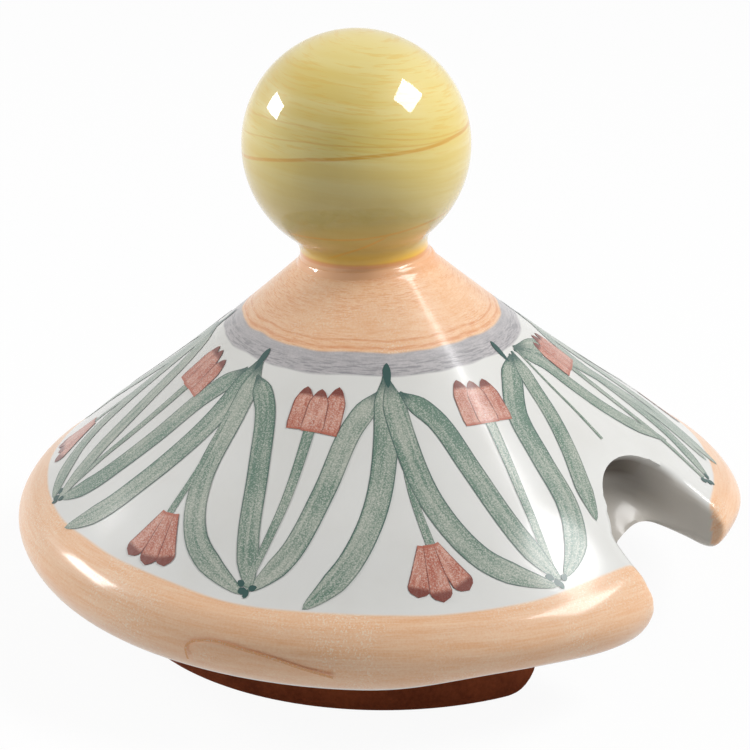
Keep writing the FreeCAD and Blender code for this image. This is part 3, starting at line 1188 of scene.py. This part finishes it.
def clump(centreAngle, overNotch, leaves, stems, petals):
    steps = frieze["pathSteps"]

    def onBelt(points, shake):
        shaken = [(a + friezeRandom.uniform(-shake, shake),
                   b + 0.7 * friezeRandom.uniform(-shake, shake)) for a, b in points]
        return [placed(centreAngle, a, b) for a, b in strokePath(shaken, steps)]

    def flower(kind):
        width, points = stemStrokes[kind]
        look = tulips[kind]
        path = onBelt(points, frieze["stemShake"])
        if layStroke(path, width, stemWidth, look["stemTone"], stems):
            tulip(*placed(centreAngle, *look["place"]), look, petals)

    if overNotch:
        for width, points in notchStrokes.values():
            tone = 0.5 + friezeRandom.uniform(-0.15, 0.15)
            leaves.append(paintStroke(strokePath(points, steps), width, leafWidth, tone,
                                      layerLift(leaves)))
        width, points = notchStem
        stems.append(paintStroke(strokePath(points, steps), width, stemWidth, 0.7, 0.01))
    else:
        for width, points in leafStrokes.values():
            path = onBelt(points, frieze["leafShake"])
            layStroke(path, width, leafWidth, 0.5 + friezeRandom.uniform(-0.2, 0.2), leaves)
        flower("hanging")
    flower("upright")
    for width, points in rootStrokes.values():
        layStroke(onBelt(points, frieze["rootShake"]), width, blobWidth, frieze["rootTone"], leaves)


def gather(name, strokes, material):
    clearSelection()
    for stroke in strokes:
        stroke.select_set(True)
    bpy.context.view_layer.objects.active = strokes[0]
    bpy.ops.object.join()
    piece = bpy.context.object
    piece.name = name
    piece.data.name = name
    smooth(piece, 60.0)
    finishPiece(piece, material, "wall_glaze")
    return piece


def makeFrieze():
    leaves, stems, petals = [], [], []
    for k in range(frieze["repeats"]):
        clump(frieze["firstAngle"] + k * period, k == frieze["notchRepeat"], leaves, stems, petals)
    leafFrieze = gather("leafFrieze", leaves, paints["leafPaint"])
    gather("stemFrieze", stems, paints["stemPaint"])
    tulipFrieze = gather("tulipFrieze", petals, paints["petalPaint"])
    loop = []
    for a, b in strokePath(loopStroke, frieze["pathSteps"]):
        beyond = math.radians(b - shoulderAngle) * beadRadius
        loop.append((a, shoulderPoint[0] + beyond))
    gather("rimLoop", [paintStroke(loop, 0.5, stemWidth, 0.5, -0.03, 60, 2)], paints["loopPaint"])
    print("frieze", len(leafFrieze.data.polygons), len(tulipFrieze.data.polygons), "faces")


makeFrieze()


# floor, lights and camera
studio = {
    "elevation": 23.0,
    "azimuth": 30.0,
    "distance": 376.5,
    "aimHeight": 17.5,
    "lens": 131.7,
    "pitch": 2.14,
    "yaw": 0.18,
    "fill": 0.09,
    "sideFill": 0.66,
    "sideReach": (0.2, 0.9),
    "frontDim": 0.25,
    "frontReach": (0.6, 0.95),
    "floorSize": 6.0,
    "floorGrey": 0.64,
    "floorPale": 0.95,
    "floorWhite": 0.94,
    "lampDistance": 0.62,
    "lampAim": 0.04,
}
lamps = {
    "left": {"power": 1.97, "wide": 0.228, "tall": 0.12, "roll": 6.3,
             "from": (-0.890, -0.232, 0.393)},
    "right": {"power": 2.95, "wide": 0.291, "tall": 0.204, "roll": 6.4,
              "from": (0.637, 0.262, 0.725)},
}


def seenDirectly():
    path = addNode("LightPath").outputs
    return largest(path["Is Camera Ray"],
                   largest(path["Is Glossy Ray"], path["Is Transmission Ray"]))


def mixShaders(amount, first, second, output):
    mix = addNode("MixShader")
    link(amount, mix.inputs[0])
    link(first.outputs[0], mix.inputs[1])
    link(second.outputs[0], mix.inputs[2])
    link(mix.outputs[0], output.inputs[0])


def makeFloor():
    clearSelection()
    bpy.ops.mesh.primitive_plane_add(size=studio["floorSize"], location=(0.0, 0.0, 0.0))
    floor = bpy.context.object
    floor.name = "floor"
    material, bsdf = newMaterial("floorPaper")
    bsdf.inputs["Roughness"].default_value = 0.9
    seen = seenDirectly()
    lighter = product(seen, studio["floorPale"] - studio["floorGrey"])
    shade = total(lighter, studio["floorGrey"])
    link(joinXyz(shade, shade, shade), bsdf.inputs["Base Color"])
    mixShaders(product(seen, studio["floorWhite"]), bsdf, addNode("Emission"),
               material.node_tree.nodes["Material Output"])
    floor.data.materials.append(material)


def makeWorld():
    # lights the lid mostly from both sides; seen directly it is white, but dimmer on the open front
    world = bpy.data.worlds.new("studioWhite")
    bpy.context.scene.world = world
    world.use_nodes = True
    world.node_tree.nodes.clear()
    wiring["tree"] = world.node_tree
    a = math.radians(studio["azimuth"])
    coord = addNode("TexCoord").outputs["Generated"]

    def toward(direction):
        node = addNode("VectorMath")
        node.operation = "DOT_PRODUCT"
        link(coord, node.inputs[0])
        node.inputs[1].default_value = direction
        return node.outputs["Value"]

    def background(strength):
        node = addNode("Background")
        link(strength, node.inputs["Strength"])
        return node

    sideways = calc("ABSOLUTE", toward((math.cos(a), math.sin(a), 0.0)))
    front = toward((math.sin(a), -math.cos(a), 0.0))
    plain = background(ramp(sideways, *studio["sideReach"], studio["fill"], studio["sideFill"]))
    shown = background(ramp(front, *studio["frontReach"], 1.0, studio["frontDim"]))
    mixShaders(seenDirectly(), plain, shown, addNode("OutputWorld"))


def makeLamp(side):
    clearSelection()
    look = lamps[side]
    target = Vector((0.0, 0.0, studio["lampAim"]))
    place = target + Vector(look["from"]).normalized() * studio["lampDistance"]
    bpy.ops.object.light_add(type="AREA", location=place)
    lamp = bpy.context.object
    lamp.name = side + "Lamp"
    lamp.data.shape = "RECTANGLE"
    lamp.data.size = look["wide"]
    lamp.data.size_y = look["tall"]
    lamp.data.energy = look["power"]
    aim = (target - lamp.location).to_track_quat("-Z", "Y").to_matrix()
    lamp.rotation_euler = (aim @ Matrix.Rotation(math.radians(look["roll"]), 3, "Z")).to_euler()


def makeCamera():
    a, e = math.radians(studio["azimuth"]), math.radians(studio["elevation"])
    back = Vector((math.sin(a) * math.cos(e), -math.cos(a) * math.cos(e), math.sin(e)))
    spot = Vector((0.0, 0.0, studio["aimHeight"])) + back * studio["distance"]
    clearSelection()
    bpy.ops.object.camera_add(location=spot * mm)
    camera = bpy.context.object
    camera.rotation_euler = (math.radians(90.0 - studio["elevation"] + studio["pitch"]), 0.0,
                             math.radians(studio["azimuth"] + studio["yaw"]))
    camera.data.lens = studio["lens"]
    camera.data.clip_start = 0.01
    bpy.context.scene.camera = camera


makeFloor()
makeWorld()
for lampSide in lamps:
    makeLamp(lampSide)
makeCamera()
bpy.context.scene.view_settings.view_transform = "Standard"
print("studio made")
